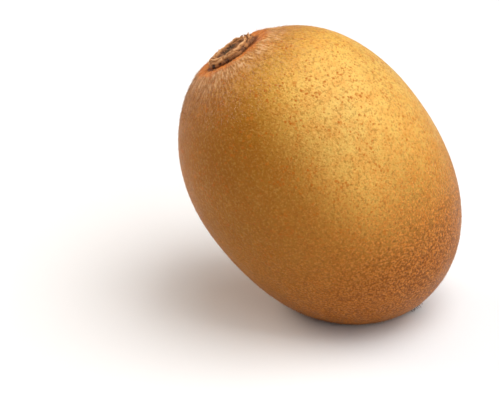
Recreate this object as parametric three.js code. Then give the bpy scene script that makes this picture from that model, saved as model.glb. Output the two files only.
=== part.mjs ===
// A whole golden kiwi fruit. It rests on a small flat spot near its blossom end, and its stem end leans up.
// Three pieces: the fruit in its skin, the dried calyx at the stem end, the dried styles at the blossom end.
// Millimetres, +Z up. The origin is on the floor, right under the fruit's weight.
import * as THREE from "three";

// Driving sizes of the fruit, measured from the middle of its widest section.
const STEM_HALF = 31.0; // to the stem end
const BLOSSOM_HALF = 37.0; // to the blossom end
const BROAD_RADIUS = 25.9; // half the broad width
const NARROW_RADIUS = 25.1; // half the narrow width
const FULLNESS = 2.15; // 2 is a plain ellipse, more is blunter at both ends
const SWELLS = [0.09, 0.06, 0.025]; // slow unevenness, in three directions

// How the fruit rests.
const LEAN = THREE.MathUtils.degToRad(38.4); // from upright
const LEAN_HEADING = THREE.MathUtils.degToRad(168.1); // towards this compass angle, from +X
const SPIN = THREE.MathUtils.degToRad(14.2); // about the fruit's own axis
const FLAT_DEPTH = 2.5; // skin pressed in where it rests
const FLAT_BLEND = 0.3; // roll of the skin into the flat spot
const FLANK_FULLNESS = 1.2; // the flank it rests on is fuller, so the flat spot reaches under the weight
const FLANK_WIDTH = 0.4; // radians
const FLANK_TOWARDS_STEM = 0.2; // radians from straight down
const WEIGHT_BELOW_WIDEST = 2.2; // centre of mass, from the widest section towards the blossom end
const LOW_POINTS = [[-4.42, -0.84], [9.95, 8.77], [9.34, -9.42]]; // along and across, from the weight
const LOW_RISE = 0.16; // of the rest of the flat spot over its three low points
const LOW_REACH = 3.0; // width of the rise from each low point

// Stem end: a shallow hollow with a puckered lip round it.
const CALYX_TILT = THREE.MathUtils.degToRad(2.4); // the stem end is a little off the axis
const HOLLOW_DEPTH = 0.85;
const HOLLOW_FLOOR = 5.4;
const HOLLOW_RIM = 9.0;
const LIP_HEIGHT = 0.22;
const LIP_WIDTH = 1.6;
const PUCKERS = [11, 17]; // folds round the lip, in two overlaid waves
const PUCKER_HEIGHT = 0.13;
const PUCKER_WIDTH = 3.2;
const SHOULDER_DROP = 0.28; // one shoulder is lower than the other
const SHOULDER_REACH = 11.0;
const SHOULDER_WIDTH = 5.5;

// Calyx: dried sepals pressed into a woody crown round the stalk scar.
const CALYX_RADIUS = 5.6;
const CALYX_WALL = 0.4; // height of its outer edge
const SEPALS = 5;
const SEPAL_TURN = 0.4; // radians
const SEPAL_LOBE = 0.32; // how far the edge runs in between two sepals
const SEPAL_NOTCH = 0.3; // how far the crown drops between two sepals
const EDGE_WAVE = 0.14;
const CROWN_RADIUS = 4.5;
const CROWN_WIDTH = 0.95;
const CROWN_HEIGHT = 0.6;
const KNOT_HEIGHT = 0.16;
const SCAR_SHIFT = 0.45; // the stalk scar sits off centre
const SCAR_RIM_RADIUS = 2.1;
const SCAR_RIM_WIDTH = 0.55;
const SCAR_RIM_HEIGHT = 0.5;
const SCAR_STRETCH = 0.16;

// Blossom end: a low nipple with a pit, and the stub of dried styles in it.
const NIPPLE_HEIGHT = 0.6;
const NIPPLE_WIDTH = 5.5;
const PIT_DEPTH = 0.5;
const PIT_FLOOR = 2.0;
const PIT_RIM = 3.0;
const STYLES_RADIUS = 1.75;
const STYLES_HEIGHT = 0.75;
const STYLES_DOME = 0.5; // height of their edge, as a share of the middle
const STYLE_RIDGES = 9;
const STYLE_RIDGE_HEIGHT = 0.28;

const SEAT_GAP = 0.3; // air between a dried piece and the skin under it
const SKIN_SEGMENTS = 72;
const CALYX_SEGMENTS = 75;
const STYLES_SEGMENTS = 36;

// Rings of the skin, by distance from each end: close together at both ends, evenly spread between them.
const STEM_RINGS = [0, 2.8, 5.4, 6.2, 6.9, 7.6, 8.3, 9.0, 9.7, 10.5, 11.4, 12.5, 13.9, 15.6];
const BLOSSOM_RINGS = [11.6, 9.0, 6.9, 5.2, 4.0, 3.1, 2.6, 2.1, 1.3, 0];
const MIDDLE_RINGS = 27;
const CALYX_RINGS = [0, 0.14, 0.24, 0.33, 0.41, 0.5, 0.59, 0.67, 0.75, 0.82, 0.89, 0.95, 1];
const STYLES_RINGS = [0, 0.3, 0.5, 0.7, 0.86, 1];
const UNDER_RINGS = [1, 0.55, 0];

const Z_AXIS = new THREE.Vector3(0, 0, 1);
const Y_AXIS = new THREE.Vector3(0, 1, 0);
const fade = (x, from, to) => THREE.MathUtils.smoothstep(x, from, to);
const hump = (x, centre, width) => Math.exp(-(((x - centre) / width) ** 2));

// The pose turns the upright fruit: spin first, then lean.
const leanAxis = new THREE.Vector3(-Math.sin(LEAN_HEADING), Math.cos(LEAN_HEADING), 0);
const spin = new THREE.Quaternion().setFromAxisAngle(Z_AXIS, SPIN);
const pose = new THREE.Quaternion().setFromAxisAngle(leanAxis, LEAN).multiply(spin);
const floorUp = Z_AXIS.clone().applyQuaternion(pose.clone().invert());
const blossomWay = new THREE.Vector3(-Math.cos(LEAN_HEADING), -Math.sin(LEAN_HEADING), 0);
const floorAlong = blossomWay.applyQuaternion(pose.clone().invert());
const floorAcross = floorUp.clone().cross(floorAlong);
const weight = new THREE.Vector3(0, 0, -WEIGHT_BELOW_WIDEST);
const flank = floorUp.clone().negate().addScaledVector(Z_AXIS, FLANK_TOWARDS_STEM).normalize();

// Height of the widest section's middle over the floor: how far down the fruit reaches, less the flat spot.
const dualPower = FULLNESS / (FULLNESS - 1);
const reachAlong = (BLOSSOM_HALF * Math.cos(LEAN)) ** dualPower;
const reachAcross = (BROAD_RADIUS * Math.sin(LEAN)) ** dualPower;
const centreHeight = (reachAlong + reachAcross) ** (1 / dualPower) - FLAT_DEPTH;

// The smooth fruit: distance from the middle of the widest section to the surface, along a unit vector.
function bluntRadius(direction) {
  const along = Math.abs(direction.z) / (direction.z > 0 ? STEM_HALF : BLOSSOM_HALF);
  const across = Math.hypot(direction.x / BROAD_RADIUS, direction.y / NARROW_RADIUS);
  return (along ** FULLNESS + across ** FULLNESS) ** (-1 / FULLNESS);
}

// Slow swells, so that the fruit is not quite a turned shape, and the fuller flank it rests on.
function swell({ x, y, z }, fromFlank) {
  return (
    SWELLS[0] * Math.sin(3.1 * x + 2.3 * y + 0.7) +
    SWELLS[1] * Math.sin(4.3 * y - 2.9 * z + 1.9) +
    SWELLS[2] * Math.sin(6.1 * x - 4.7 * z + 0.4) +
    FLANK_FULLNESS * hump(fromFlank, 0, FLANK_WIDTH)
  );
}

// Relief of the stem end, at a distance from the calyx's middle and an angle round it.
function stemRelief(distance, angle) {
  const folds = Math.sin(PUCKERS[0] * angle + 0.6) + 0.6 * Math.sin(PUCKERS[1] * angle + 2.1);
  return (
    -HOLLOW_DEPTH * (1 - fade(distance, HOLLOW_FLOOR, HOLLOW_RIM)) +
    LIP_HEIGHT * hump(distance, HOLLOW_RIM, LIP_WIDTH) +
    PUCKER_HEIGHT * (folds / 1.6) * hump(distance, HOLLOW_RIM, PUCKER_WIDTH) -
    SHOULDER_DROP * Math.cos(angle) * hump(distance, SHOULDER_REACH, SHOULDER_WIDTH)
  );
}

function blossomRelief(distance) {
  const pit = PIT_DEPTH * (1 - fade(distance, PIT_FLOOR, PIT_RIM));
  return NIPPLE_HEIGHT * hump(distance, 0, NIPPLE_WIDTH) - pit;
}

// How high a point of the flat spot stays over the floor: nothing at its three low points.
function flatRise(point) {
  const fromWeight = point.clone().sub(weight);
  const [along, across] = [fromWeight.dot(floorAlong), fromWeight.dot(floorAcross)];
  const distances = LOW_POINTS.map(([x, y]) => Math.hypot(along - x, across - y));
  return LOW_RISE * Math.min(1, Math.min(...distances) / LOW_REACH);
}

// Presses the skin flat where it meets the floor, with a short roll into the flat spot.
function settle(point) {
  const height = point.dot(floorUp) + centreHeight;
  if (height >= FLAT_BLEND) return point;
  const pressed = height <= -FLAT_BLEND ? 0 : (height + FLAT_BLEND) ** 2 / (4 * FLAT_BLEND);
  const kept = pressed + flatRise(point) * (1 - pressed / FLAT_BLEND);
  return point.addScaledVector(floorUp, kept - height);
}

// Point on the skin, or a height above it. polar is the angle from the calyx's middle, angle goes round it.
function skinPoint(polar, angle, height = 0) {
  const across = Math.sin(polar);
  const direction = new THREE.Vector3(across * Math.cos(angle), across * Math.sin(angle), Math.cos(polar));
  direction.applyAxisAngle(Y_AXIS, CALYX_TILT);
  const radius =
    bluntRadius(direction) +
    swell(direction, direction.angleTo(flank)) +
    stemRelief(polar * STEM_HALF, angle) +
    blossomRelief((Math.PI - polar) * BLOSSOM_HALF);
  return settle(direction.multiplyScalar(radius + height));
}

// Moves every vertex of a lathe turned about Z by a rule, which gets its distance from Z, angle and level.
function reshape(lathe, rule) {
  lathe.rotateX(Math.PI / 2);
  const position = lathe.getAttribute("position");
  for (let i = 0; i < position.count; i++) {
    const [x, y, z] = [position.getX(i), position.getY(i), position.getZ(i)];
    const made = rule(Math.hypot(x, y), Math.atan2(y, x), z);
    position.setXYZ(i, made.x, made.y, made.z);
  }
  lathe.computeVertexNormals();
  return lathe;
}

// Polar angles of the skin's rings, from the stem end to the blossom end.
function skinAngles() {
  const fromStem = STEM_RINGS.map((distance) => distance / STEM_HALF);
  const fromBlossom = BLOSSOM_RINGS.map((distance) => Math.PI - distance / BLOSSOM_HALF);
  const start = fromStem.at(-1);
  const step = (fromBlossom[0] - start) / (MIDDLE_RINGS + 1);
  const between = Array.from({ length: MIDDLE_RINGS }, (_, i) => start + step * (i + 1));
  return [...fromStem, ...between, ...fromBlossom];
}

function fruitGeometry() {
  const across = (polar) => (polar % Math.PI === 0 ? 0 : Math.sin(polar));
  const profile = skinAngles().map((polar) => new THREE.Vector2(across(polar), Math.cos(polar)));
  const ball = new THREE.LatheGeometry(profile.reverse(), SKIN_SEGMENTS);
  return reshape(ball, (fromAxis, angle, level) => skinPoint(Math.atan2(fromAxis, level), angle));
}

// A puck on the skin. Its profile runs over the top from the middle to the edge, then back under it.
function puckGeometry(rings, segments, rule) {
  const top = rings.map((fraction) => new THREE.Vector2(fraction, 1));
  const under = UNDER_RINGS.map((fraction) => new THREE.Vector2(fraction, 0));
  return reshape(new THREE.LatheGeometry([...top, ...under].reverse(), segments), rule);
}

// 1 at the middle of a sepal, 0 between two of them.
function sepalShare(angle) {
  return Math.abs(Math.cos((SEPALS * angle) / 2 + SEPAL_TURN));
}

function calyxEdge(angle) {
  const wave = Math.sin(3 * angle + 1.1) + 0.6 * Math.sin(8 * angle);
  return CALYX_RADIUS + SEPAL_LOBE * (sepalShare(angle) - 0.5) + EDGE_WAVE * wave;
}

function calyxHeight(distance, angle) {
  const x = distance * Math.cos(angle) + SCAR_SHIFT;
  const y = distance * Math.sin(angle);
  const fromScar = Math.hypot(x, y) * (1 + SCAR_STRETCH * Math.cos(2 * Math.atan2(y, x) + 0.5));
  const notch = SEPAL_NOTCH * (1 - sepalShare(angle)) ** 3;
  const knots = KNOT_HEIGHT * (Math.sin(7 * angle + 0.9) + 0.75 * Math.sin(12 * angle + 2.4));
  return (
    CALYX_WALL +
    CROWN_HEIGHT * hump(distance, CROWN_RADIUS, CROWN_WIDTH) * (1 - notch + knots) +
    SCAR_RIM_HEIGHT * hump(fromScar, SCAR_RIM_RADIUS, SCAR_RIM_WIDTH)
  );
}

function calyxGeometry() {
  return puckGeometry(CALYX_RINGS, CALYX_SEGMENTS, (fraction, angle, level) => {
    const distance = fraction * calyxEdge(angle);
    const height = SEAT_GAP + level * calyxHeight(distance, angle);
    return skinPoint(distance / STEM_HALF, angle, height);
  });
}

// The styles dried into a ribbed dome. Seen from the blossom end, its angles run the other way round.
function stylesGeometry() {
  return puckGeometry(STYLES_RINGS, STYLES_SEGMENTS, (fraction, angle, level) => {
    const rib = (0.5 + 0.5 * Math.cos(STYLE_RIDGES * angle)) * fade(fraction, 0.15, 0.6);
    const dome = STYLES_HEIGHT * Math.sqrt(1 - (1 - STYLES_DOME ** 2) * fraction ** 2);
    const height = SEAT_GAP + level * (dome * (1 - STYLE_RIDGE_HEIGHT) + STYLE_RIDGE_HEIGHT * rib);
    return skinPoint(Math.PI - (fraction * STYLES_RADIUS) / BLOSSOM_HALF, -angle, height);
  });
}

function piece(name, geometry, color, roughness) {
  const material = new THREE.MeshStandardMaterial({ color, roughness, metalness: 0 });
  const mesh = new THREE.Mesh(geometry, material);
  mesh.name = name;
  return mesh;
}

const upright = new THREE.Group();
upright.add(
  piece("fruit_in_skin", fruitGeometry(), 0xc98f3f, 0.6),
  piece("stem_calyx", calyxGeometry(), 0x6b452c, 0.85),
  piece("blossom_styles", stylesGeometry(), 0x4a3020, 0.9),
);

// The origin goes under the weight.
const leaningWeight = weight.clone().applyQuaternion(pose);
upright.quaternion.copy(pose);
upright.position.set(-leaningWeight.x, -leaningWeight.y, centreHeight);

const kiwi = new THREE.Group();
kiwi.add(upright);

export default kiwi;
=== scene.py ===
"""The looks of a whole golden kiwi fruit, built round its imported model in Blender 4.5, in metres.

The fruit rests on a small flat spot near its blossom end and leans back towards its stem end.
The skin, the hairs on it, the dried calyx and the dried styles are each made in a section of their own.
"""

import math

import bmesh
import bpy
from mathutils import Matrix, Vector


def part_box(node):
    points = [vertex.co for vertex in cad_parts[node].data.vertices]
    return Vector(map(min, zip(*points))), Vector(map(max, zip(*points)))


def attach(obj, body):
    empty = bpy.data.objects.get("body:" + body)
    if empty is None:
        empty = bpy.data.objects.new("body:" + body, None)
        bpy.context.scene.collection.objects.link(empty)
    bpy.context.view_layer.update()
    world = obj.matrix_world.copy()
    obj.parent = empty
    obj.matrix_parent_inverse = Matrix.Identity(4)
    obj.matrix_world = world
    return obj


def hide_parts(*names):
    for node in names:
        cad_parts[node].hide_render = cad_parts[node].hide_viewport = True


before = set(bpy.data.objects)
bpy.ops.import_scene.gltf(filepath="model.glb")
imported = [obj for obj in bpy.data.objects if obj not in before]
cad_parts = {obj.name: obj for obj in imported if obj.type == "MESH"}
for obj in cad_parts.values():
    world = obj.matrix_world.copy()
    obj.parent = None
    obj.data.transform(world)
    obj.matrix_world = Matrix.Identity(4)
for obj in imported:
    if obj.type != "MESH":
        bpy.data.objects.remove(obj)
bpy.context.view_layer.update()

# The fruit in its skin

# One grown piece: thin, dry, golden brown skin over soft flesh. It is smooth and yellow, with a painted
# highlight making one side paler and painted shade deepening one flank. It is browner and rougher towards the
# blossom end, partly painted shade, freckled with corky lenticels, and bare and orange round the calyx.

MM = 0.001
SKIN_LEVELS = 2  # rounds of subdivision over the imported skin
LEATHER_HEIGHT = 0.044  # mm, faint unevenness of the skin from its dips to its rises
LEATHER_SIZE = 1.9  # mm
FOLD_COUNT = 43  # fine folds running out from under the calyx
FOLD_HEIGHT = 0.05  # mm
FOLD_WANDER = 9.0  # how far noise bends the folds
FOLD_ROOT = 4.0  # mm from the axis, under the calyx
FOLD_START, FOLD_END = 6.0, 10.5  # mm from the axis, where they are full and where they are gone
PRESSED, FREE = 0.3, 1.5  # mm above the table: no relief below the first, full relief above the second


def middle(node):
    low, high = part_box(node)
    return (Vector(low) + Vector(high)) / 2


# The fruit's own frame: origin at the calyx, Z out along the axis, X level with the floor.
stem_point = middle("stem_calyx")
axis = (stem_point - middle("blossom_styles")).normalized()
level = axis.cross(Vector((0, 0, 1))).normalized()
own_turn = Matrix((level, axis.cross(level), axis)).to_euler()
fruit_length = (stem_point - middle("blossom_styles")).length / MM
stem_part = -0.4 * fruit_length  # above this height a pattern round the axis belongs to the stem end


def linear(hex_colour):
    """An sRGB hex value as the linear colour that Blender mixes."""
    parts = [int(hex_colour[i : i + 2], 16) / 255 for i in (1, 3, 5)]
    return [c / 12.92 if c <= 0.04045 else ((c + 0.055) / 1.055) ** 2.4 for c in parts] + [1.0]


def add(tree, kind, inputs=None, **settings):
    """Adds a node with its settings. Each input is a value, or the socket that feeds it."""
    made = tree.nodes.new(kind)
    for name, value in settings.items():
        setattr(made, name, value)
    for name, value in (inputs or {}).items():
        if isinstance(value, bpy.types.NodeSocket):
            tree.links.new(value, made.inputs[name])
        else:
            made.inputs[name].default_value = value
    return made


def new_tree(name, sizes):
    """A geometry tree with one named input for each size, and the sockets of those inputs."""
    tree = bpy.data.node_groups.new(name, "GeometryNodeTree")
    tree.interface.new_socket("Geometry", in_out="INPUT", socket_type="NodeSocketGeometry")
    tree.interface.new_socket("Geometry", in_out="OUTPUT", socket_type="NodeSocketGeometry")
    for size, kind in sizes.items():
        tree.interface.new_socket(size, in_out="INPUT", socket_type="NodeSocket" + kind)
    return tree, tree.nodes.new("NodeGroupInput").outputs


def finish_tree(tree, geometry, material):
    """Ends a tree: instances made real, material set, smooth faces."""
    real = add(tree, "GeometryNodeRealizeInstances", {0: geometry})
    smooth = add(tree, "GeometryNodeSetShadeSmooth", {0: real.outputs[0]})
    dressed = add(tree, "GeometryNodeSetMaterial", {0: smooth.outputs[0], "Material": material})
    add(tree, "NodeGroupOutput", {0: dressed.outputs[0]})


def grow(name, mesh, tree, sizes):
    """Runs a tree on a mesh with these sizes, and keeps what it makes as a plain mesh."""
    piece = bpy.data.objects.new(name, mesh)
    bpy.context.collection.objects.link(piece)
    modifier = piece.modifiers.new(tree.name, "NODES")
    modifier.node_group = tree
    for socket in tree.interface.items_tree:
        if socket.in_out == "INPUT" and socket.name in sizes:
            modifier[socket.identifier] = sizes[socket.name]
    evaluated = piece.evaluated_get(bpy.context.evaluated_depsgraph_get())
    plain = bpy.data.meshes.new_from_object(evaluated)
    piece.modifiers.remove(modifier)
    piece.data = plain
    return piece


def cad_copy(node):
    """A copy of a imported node's mesh, with its doubles merged and its triangles paired into quads."""
    same_place = 0.002 * MM
    flat_enough, square_enough = math.radians(40), math.radians(60)
    shape = bmesh.new()
    shape.from_mesh(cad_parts[node].data)
    bmesh.ops.remove_doubles(shape, verts=shape.verts, dist=same_place)
    bmesh.ops.join_triangles(
        shape, faces=shape.faces, angle_face_threshold=flat_enough, angle_shape_threshold=square_enough
    )
    mesh = bpy.data.meshes.new(node + "_copy")
    shape.to_mesh(mesh)
    shape.free()
    return mesh


def own_place(tree, position):
    """Position in the fruit's own frame in mm, then its height, reach and turn about the axis."""
    turned = add(
        tree,
        "ShaderNodeVectorRotate",
        {"Vector": position, "Center": stem_point, "Rotation": own_turn},
        rotation_type="EULER_XYZ",
    )
    moved = add(tree, "ShaderNodeVectorMath", {0: turned.outputs[0], 1: stem_point}, operation="SUBTRACT")
    place = add(tree, "ShaderNodeVectorMath", {0: moved.outputs[0], "Scale": 1 / MM}, operation="SCALE")
    parts = add(tree, "ShaderNodeSeparateXYZ", {0: place.outputs[0]})
    flat = add(tree, "ShaderNodeCombineXYZ", {0: parts.outputs[0], 1: parts.outputs[1]})
    reach = add(tree, "ShaderNodeVectorMath", {0: flat.outputs[0]}, operation="LENGTH")
    turn = add(tree, "ShaderNodeMath", {0: parts.outputs[1], 1: parts.outputs[0]}, operation="ARCTAN2")
    return place.outputs[0], parts.outputs[2], reach.outputs["Value"], turn.outputs[0]


def round_axis(tree, reach, turn, across, along):
    """A place for noise in strands. It changes by across for each mm from the axis, and by along round it."""
    cosine = add(tree, "ShaderNodeMath", {0: turn}, operation="COSINE")
    sine = add(tree, "ShaderNodeMath", {0: turn}, operation="SINE")
    step = add(tree, "ShaderNodeMath", {0: reach, 1: across}, operation="MULTIPLY")
    ring = add(tree, "ShaderNodeCombineXYZ", {0: cosine.outputs[0], 1: sine.outputs[0]})
    ring = add(tree, "ShaderNodeVectorMath", {0: ring.outputs[0], "Scale": along}, operation="SCALE")
    steps = add(tree, "ShaderNodeCombineXYZ", {2: step.outputs[0]})
    return add(
        tree, "ShaderNodeVectorMath", {0: ring.outputs[0], 1: steps.outputs[0]}, operation="ADD"
    ).outputs[0]


# Thin corky skin that dried as the fruit ripened and was brushed nearly hairless: a low soft sheen with light
# going a little way in. It is golden, with a paler painted highlight on one side and painted shade on one
# flank, and browner towards the blossom end, partly painted shade, with rust freckles and a fine pale grain.
golden_skin = bpy.data.materials.new("thin_corky_fruit_skin")
golden_skin.use_nodes = True
tree = golden_skin.node_tree
tree.nodes.clear()
at = add(tree, "ShaderNodeTexCoord").outputs["Object"]
place, height, reach, turn = own_place(tree, at)

# Soft-edged masks over noise, each named for what it marks.
# Size in mm, detail, roughness, and the noise at which the mask starts and is full.
masks = {}
for name, (size, detail, roughness, low, high) in {
    "patches": (19.0, 2, 0.5, 0.36, 0.66),
    "mottle": (3.2, 4, 0.6, 0.35, 0.70),
    "grain": (0.52, 2, 0.7, 0.50, 0.66),
    "gaps": (0.62, 2, 0.7, 0.50, 0.36),
    "pores": (0.20, 2, 0.6, 0.30, 0.75),
}.items():
    noise = add(
        tree,
        "ShaderNodeTexNoise",
        {"Vector": place, "Scale": 1 / size, "Detail": detail, "Roughness": roughness},
    )
    faded = add(
        tree,
        "ShaderNodeMapRange",
        {"Value": noise.outputs[0], "From Min": low, "From Max": high},
        interpolation_type="SMOOTHSTEP",
    )
    masks[name] = faded.outputs[0]

# Lenticels: corky freckles and finer specks, most of them 0.2 to 0.5 mm wide, and soft rust blots under them.
# They are ragged rather than round, and crowd together in places.
SPOT_CORE = 0.45  # share of a spot's radius within which it has its full colour
RAGGED_SIZE = 0.42  # mm, of the notches in their edges
RAGGED_SHIFT = (0.45, 0.45, 0.45)  # mm
CROWD_SIZE = 5.5  # mm, of the groups they stand in
ragged = add(tree, "ShaderNodeTexNoise", {"Vector": place, "Scale": 1 / RAGGED_SIZE, "Detail": 1.0})
shifted = add(
    tree,
    "ShaderNodeVectorMath",
    {0: ragged.outputs["Color"], 1: RAGGED_SHIFT, 2: place},
    operation="MULTIPLY_ADD",
)
crowds = add(tree, "ShaderNodeTexNoise", {"Vector": place, "Scale": 1 / CROWD_SIZE, "Detail": 2.0})
crowded = add(
    tree,
    "ShaderNodeMapRange",
    {"Value": crowds.outputs[0], "From Min": 0.34, "From Max": 0.60, "To Min": 0.50, "To Max": 1.15},
)
for name, (spacing, largest) in {  # mm, from one to the next, and the largest from middle to edge
    "blots": (1.9, 0.70),
    "freckles": (0.80, 0.40),
    "specks": (0.46, 0.19),
}.items():
    cells = add(
        tree, "ShaderNodeTexVoronoi", {"Vector": shifted.outputs[0], "Scale": 1 / spacing, "Randomness": 1.0}
    )
    draw = add(tree, "ShaderNodeSeparateColor", {0: cells.outputs["Color"]})
    radius = add(
        tree,
        "ShaderNodeMapRange",
        {"Value": draw.outputs[0], "From Min": 0.05, "To Min": 0.03, "To Max": largest / spacing},
    )
    radius = add(tree, "ShaderNodeMath", {0: radius.outputs[0], 1: crowded.outputs[0]}, operation="MULTIPLY")
    core = add(tree, "ShaderNodeMath", {0: radius.outputs[0], 1: SPOT_CORE}, operation="MULTIPLY")
    spot = add(
        tree,
        "ShaderNodeMapRange",
        {"Value": cells.outputs["Distance"], "From Min": radius.outputs[0], "From Max": core.outputs[0]},
        interpolation_type="SMOOTHSTEP",
    )
    masks[name] = spot.outputs[0]

# Corky pebbles: low swellings half a millimetre wide that crowd the skin towards the blossom end.
PEBBLE_SIZE = 0.55  # mm
cells = add(tree, "ShaderNodeTexVoronoi", {"Vector": place, "Scale": 1 / PEBBLE_SIZE, "Randomness": 0.95})
pebble = add(
    tree,
    "ShaderNodeMapRange",
    {"Value": cells.outputs["Distance"], "From Min": 0.60, "From Max": 0.22},
    interpolation_type="SMOOTHSTEP",
)
masks["pebbles"] = pebble.outputs[0]

# Painted shade and a painted highlight: the flank away from the light is painted deeper in colour, and the
# side where the highlight falls is painted paler.
# Each has the way it faces, and the mm from the axis at which it starts and is full.
for name, (side, start, end) in {
    "painted_shade_flank": ((-0.55, 0.83, 0.0), -3.5, 12.5),
    "painted_highlight_side": ((-0.37, -0.93, 0.0), 8.0, 25.0),
}.items():
    towards = add(tree, "ShaderNodeVectorMath", {0: place, 1: side}, operation="DOT_PRODUCT")
    toned = add(
        tree,
        "ShaderNodeMapRange",
        {"Value": towards.outputs["Value"], "From Min": start, "From Max": end},
        interpolation_type="SMOOTHSTEP",
    )
    masks[name] = toned.outputs[0]

# How far down the fruit: none in its top fifth, all of it near the blossom end. The browning there is partly
# the skin's own and partly painted shade on the fruit's low side.
BROWN_START, BROWN_FULL = -0.20 * fruit_length, -0.85 * fruit_length
down = add(
    tree,
    "ShaderNodeMapRange",
    {"Value": height, "From Min": BROWN_START, "From Max": BROWN_FULL},
    interpolation_type="SMOOTHSTEP",
)
masks["brown_and_shaded_end"] = down.outputs[0]

# Bands round the calyx, with wavering edges: browned shoulder, pale fuzz, bare orange ring, and painted shade
# in the crevice where the calyx meets the skin.
# Each has the mm from the axis at which it starts and is full, and reaches on in to the calyx.
WAVER = 1.3  # mm
waved = add(tree, "ShaderNodeMath", {0: masks["mottle"], 1: WAVER, 2: reach}, operation="MULTIPLY_ADD")
top_side = add(tree, "ShaderNodeMath", {0: height, 1: stem_part}, operation="GREATER_THAN")
for name, (start, end) in {
    "shoulder": (21.5, 9.5),
    "fuzz": (14.0, 10.6),
    "ring": (10.0, 8.5),
    # painted shade in the crevice under the calyx's edge
    "crevice_shade": (7.2, 6.2),
}.items():
    near = add(
        tree,
        "ShaderNodeMapRange",
        {"Value": waved.outputs[0], "From Min": start, "From Max": end},
        interpolation_type="SMOOTHSTEP",
    )
    masks[name] = add(
        tree, "ShaderNodeMath", {0: near.outputs[0], 1: top_side.outputs[0]}, operation="MULTIPLY"
    ).outputs[0]

# Fine strands run out from the calyx over these bands: pale streaks of matted down, dark furrows between.
outward_strands = round_axis(tree, reach, turn, across=0.8, along=27.0)
strands = add(tree, "ShaderNodeTexNoise", {"Vector": outward_strands, "Scale": 1.0, "Detail": 3.0})
for kind, (low, high) in {"streaks": (0.47, 0.62), "furrows": (0.48, 0.34)}.items():
    strand = add(
        tree,
        "ShaderNodeMapRange",
        {"Value": strands.outputs[0], "From Min": low, "From Max": high},
        interpolation_type="SMOOTHSTEP",
    )
    for band in ("shoulder", "fuzz", "ring"):
        masks[band + " " + kind] = add(
            tree, "ShaderNodeMath", {0: masks[band], 1: strand.outputs[0]}, operation="MULTIPLY"
        ).outputs[0]

# The layers of colour, each over the last: (mask, share of it, share of it at the brown end, colour).
colour = linear("#dba740")
for mask, share, share_below, hex_colour in [
    ("patches", 0.65, 0.40, "#b08218"),
    # painted highlight: paler yellow where the light's highlight falls
    ("painted_highlight_side", 0.45, 0.15, "#eacb7c"),
    ("mottle", 0.40, 0.30, "#cb7a26"),
    # browner blossom end: partly the skin's own browning, partly painted shade on the low side
    ("brown_and_shaded_end", 0.00, 0.92, "#793a08"),
    ("shoulder", 0.54, 0.00, "#9e5c22"),
    # painted shade: deeper colour on the flank away from the light
    ("painted_shade_flank", 0.62, 0.38, "#884600"),
    ("gaps", 0.50, 0.00, "#8f5a0a"),
    ("gaps", 0.00, 0.52, "#5e2e08"),
    ("pebbles", 0.15, 0.75, "#cc7a2c"),
    ("grain", 0.36, 0.00, "#ecbf66"),
    ("grain", 0.00, 0.50, "#ea9a42"),
    # more painted shade on the same flank
    ("painted_shade_flank", 0.45, 0.30, "#8e4e00"),
    ("blots", 0.62, 0.15, "#bd701a"),
    ("shoulder furrows", 0.62, 0.00, "#74400f"),
    ("shoulder streaks", 0.58, 0.00, "#d29a58"),
    ("fuzz", 0.40, 0.00, "#bd8a5a"),
    ("fuzz furrows", 0.38, 0.00, "#86522a"),
    ("fuzz streaks", 0.46, 0.00, "#e2bc94"),
    ("specks", 0.75, 0.20, "#bf6a12"),
    ("freckles", 0.88, 0.35, "#b25f0c"),
    ("ring", 0.92, 0.00, "#c06a27"),
    ("ring streaks", 0.50, 0.00, "#dc9a4c"),
    ("ring furrows", 0.45, 0.00, "#8e3c14"),
    # painted shade in the crevice under the calyx's edge
    ("crevice_shade", 0.82, 0.00, "#5e2c14"),
]:
    amount = add(
        tree, "ShaderNodeMapRange", {"Value": masks["brown_and_shaded_end"], "To Min": share, "To Max": share_below}
    )
    factor = add(tree, "ShaderNodeMath", {0: masks[mask], 1: amount.outputs[0]}, operation="MULTIPLY")
    layer = add(
        tree, "ShaderNodeMix", {0: factor.outputs[0], 6: colour, 7: linear(hex_colour)}, data_type="RGBA"
    )
    colour = layer.outputs[2]

# The relief in mm, too fine for the mesh: grain and freckles stand up a few hundredths of a millimetre.
relief = 0.0
for mask, rise in [
    ("pebbles", 0.045),
    ("grain", 0.030),
    ("gaps", -0.025),
    ("freckles", 0.035),
    ("specks", 0.02),
    ("pores", 0.012),
    ("mottle", 0.02),
]:
    step = add(
        tree,
        "ShaderNodeMath",
        {0: masks[mask], 1: rise * MM, 2: relief},
        operation="MULTIPLY_ADD",
    )
    relief = step.outputs[0]
bump = add(tree, "ShaderNodeBump", {"Strength": 1.0, "Distance": 1.0, "Height": relief})
dryness = add(
    tree,
    "ShaderNodeMapRange",
    {"Value": masks["mottle"], "To Min": 0.39, "To Max": 0.51},
)
skin_shader = add(
    tree,
    "ShaderNodeBsdfPrincipled",
    {
        "Base Color": colour,
        "Roughness": dryness.outputs[0],
        "IOR": 1.4,
        "Specular IOR Level": 0.19,
        "Subsurface Weight": 0.12,
        "Subsurface Radius": (1.0, 0.42, 0.14),
        "Subsurface Scale": 1.6 * MM,
        "Sheen Weight": 0.03,
        "Sheen Roughness": 0.5,
        "Sheen Tint": linear("#f0cf9a"),
        "Normal": bump.outputs[0],
    },
)
add(tree, "ShaderNodeOutputMaterial", {0: skin_shader.outputs[0]})

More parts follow.
